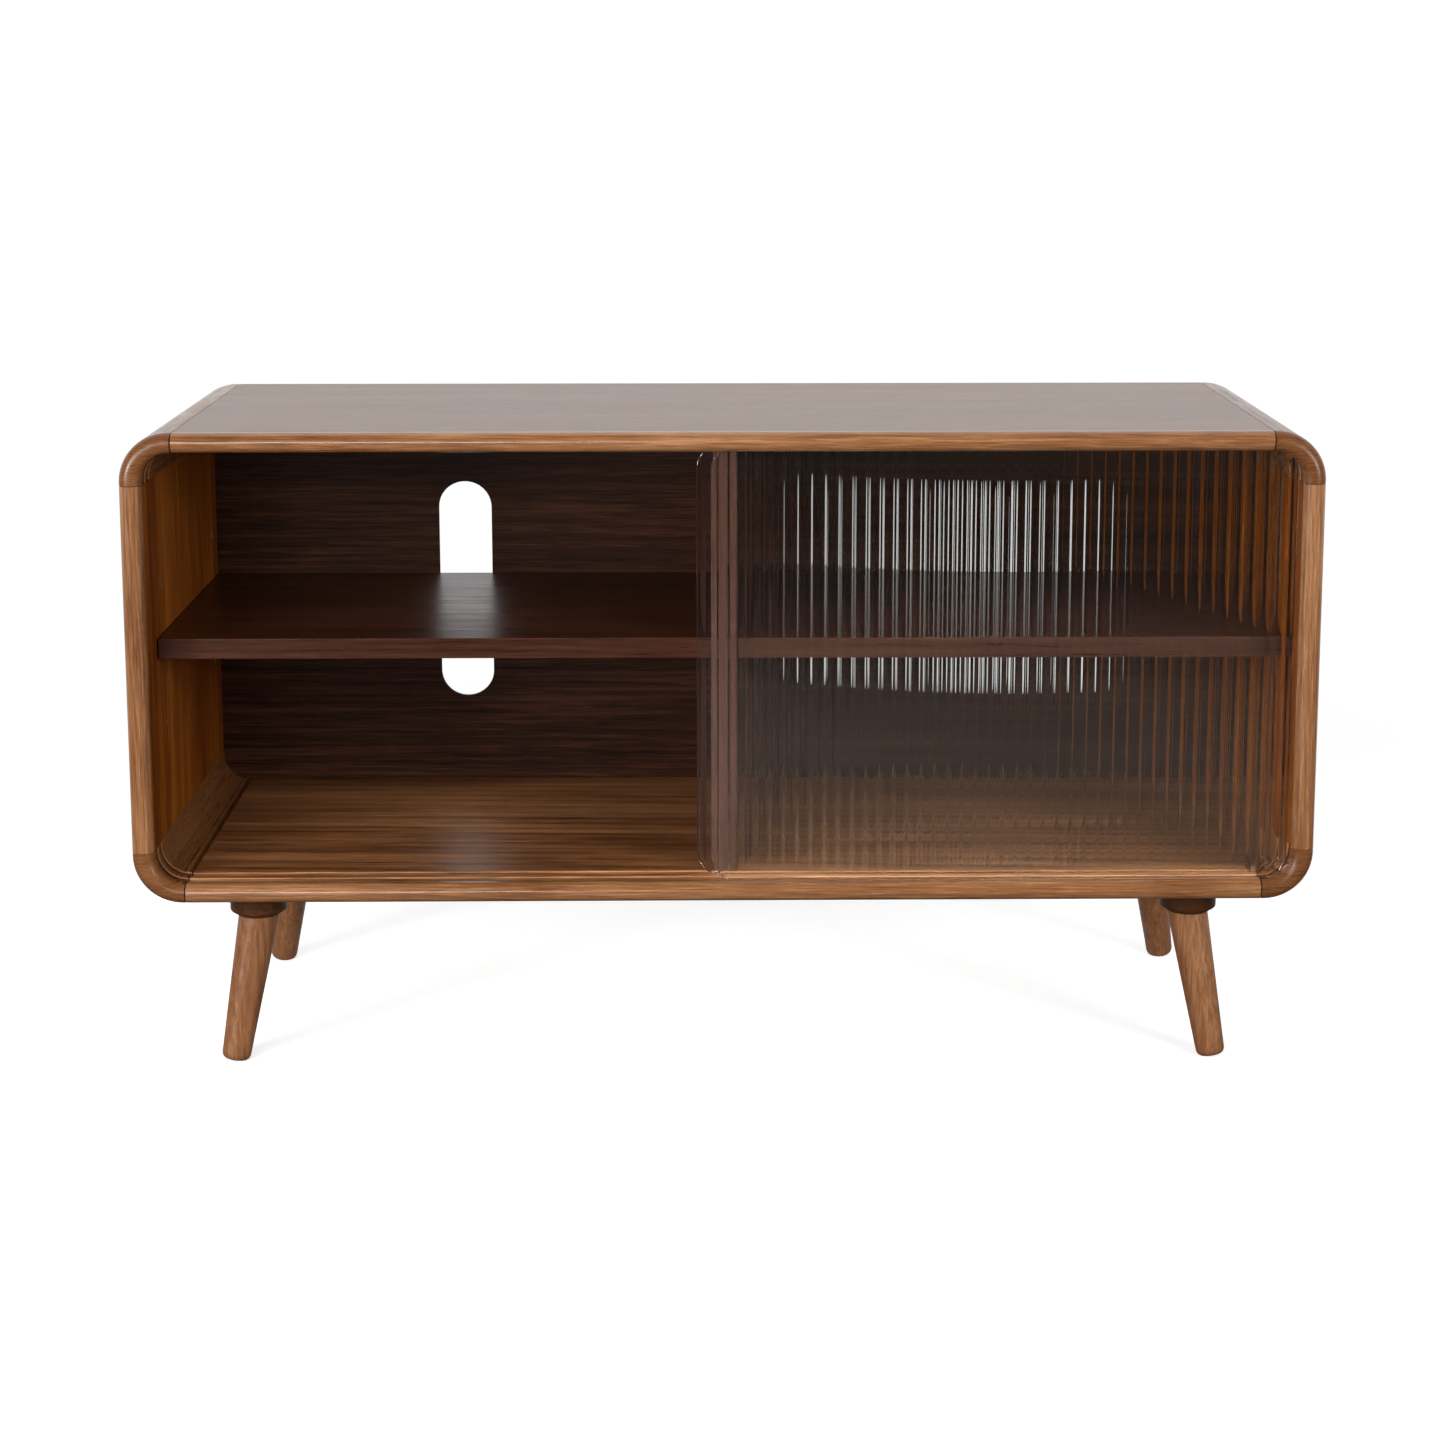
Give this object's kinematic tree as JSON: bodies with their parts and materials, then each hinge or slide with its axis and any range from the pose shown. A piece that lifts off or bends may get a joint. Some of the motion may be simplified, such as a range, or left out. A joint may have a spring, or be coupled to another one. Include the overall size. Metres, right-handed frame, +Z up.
{
  "type": "media cabinet",
  "caption": "Walnut media cabinet with rounded solid corners, fluted glass sliding doors, adjustable shelves and splayed tapered legs.",
  "frame": {"origin": "on the floor, under the middle of the cabinet's footprint", "axes": "+X to the viewer's right along the length, +Y from the open front to the back, +Z up"},
  "size_m": [1.2, 0.42, 0.664],
  "materials": {
    "walnut_veneer": "satin lacquer",
    "solid_walnut": "satin lacquer",
    "dark_laminate": "satin",
    "leg_walnut": "satin lacquer",
    "collar_walnut": "satin lacquer",
    "fluted_glass": "clear, polished edges",
    "nickel_steel": "plated"
  },
  "bodies": {
    "cabinet_body": {"back_panel": "dark_laminate", "back_screw_1": "nickel_steel", "back_screw_2": "nickel_steel", "back_screw_3": "nickel_steel", "back_screw_4": "nickel_steel", "back_screw_5": "nickel_steel", "back_screw_6": "nickel_steel", "back_screw_7": "nickel_steel", "back_screw_8": "nickel_steel", "bottom_front_lipping": "solid_walnut", "bottom_panel": "walnut_veneer", "centre_divider": "dark_laminate", "corner_block_bottom_left": "solid_walnut", "corner_block_bottom_right": "solid_walnut", "corner_block_top_left": "solid_walnut", "corner_block_top_right": "solid_walnut", "left_front_lipping": "solid_walnut", "left_shelf": "dark_laminate", "left_side_panel": "walnut_veneer", "leg_bolt_front_left": "nickel_steel", "leg_bolt_front_right": "nickel_steel", "leg_bolt_rear_left": "nickel_steel", "leg_bolt_rear_right": "nickel_steel", "leg_collar_front_left": "collar_walnut", "leg_collar_front_right": "collar_walnut", "leg_collar_rear_left": "collar_walnut", "leg_collar_rear_right": "collar_walnut", "leg_front_left": "leg_walnut", "leg_front_right": "leg_walnut", "leg_rear_left": "leg_walnut", "leg_rear_right": "leg_walnut", "pin_socket_left_front_lower": "nickel_steel", "pin_socket_left_front_upper": "nickel_steel", "pin_socket_left_rear_lower": "nickel_steel", "pin_socket_left_rear_upper": "nickel_steel", "pin_socket_right_front_lower": "nickel_steel", "pin_socket_right_front_upper": "nickel_steel", "pin_socket_right_rear_lower": "nickel_steel", "pin_socket_right_rear_upper": "nickel_steel", "right_front_lipping": "solid_walnut", "right_shelf": "dark_laminate", "right_side_panel": "walnut_veneer", "shelf_pin_left_front_inner": "nickel_steel", "shelf_pin_left_front_outer": "nickel_steel", "shelf_pin_left_rear_inner": "nickel_steel", "shelf_pin_left_rear_outer": "nickel_steel", "shelf_pin_right_front_inner": "nickel_steel", "shelf_pin_right_front_outer": "nickel_steel", "shelf_pin_right_rear_inner": "nickel_steel", "shelf_pin_right_rear_outer": "nickel_steel", "top_front_lipping": "solid_walnut", "top_panel": "walnut_veneer"},
    "right_door": {"right_glass_door": "fluted_glass"},
    "left_door": {"left_glass_door": "fluted_glass"}
  },
  "joints": [
    {"name": "right_door_slide", "type": "slide", "parent": "cabinet_body", "child": "right_door", "axis": [1, 0, 0], "range_m": [-0.563, 0.001]},
    {"name": "left_door_slide", "type": "slide", "parent": "cabinet_body", "child": "left_door", "axis": [1, 0, 0], "range_m": [-0.5485, 0.0155]}
  ]
}
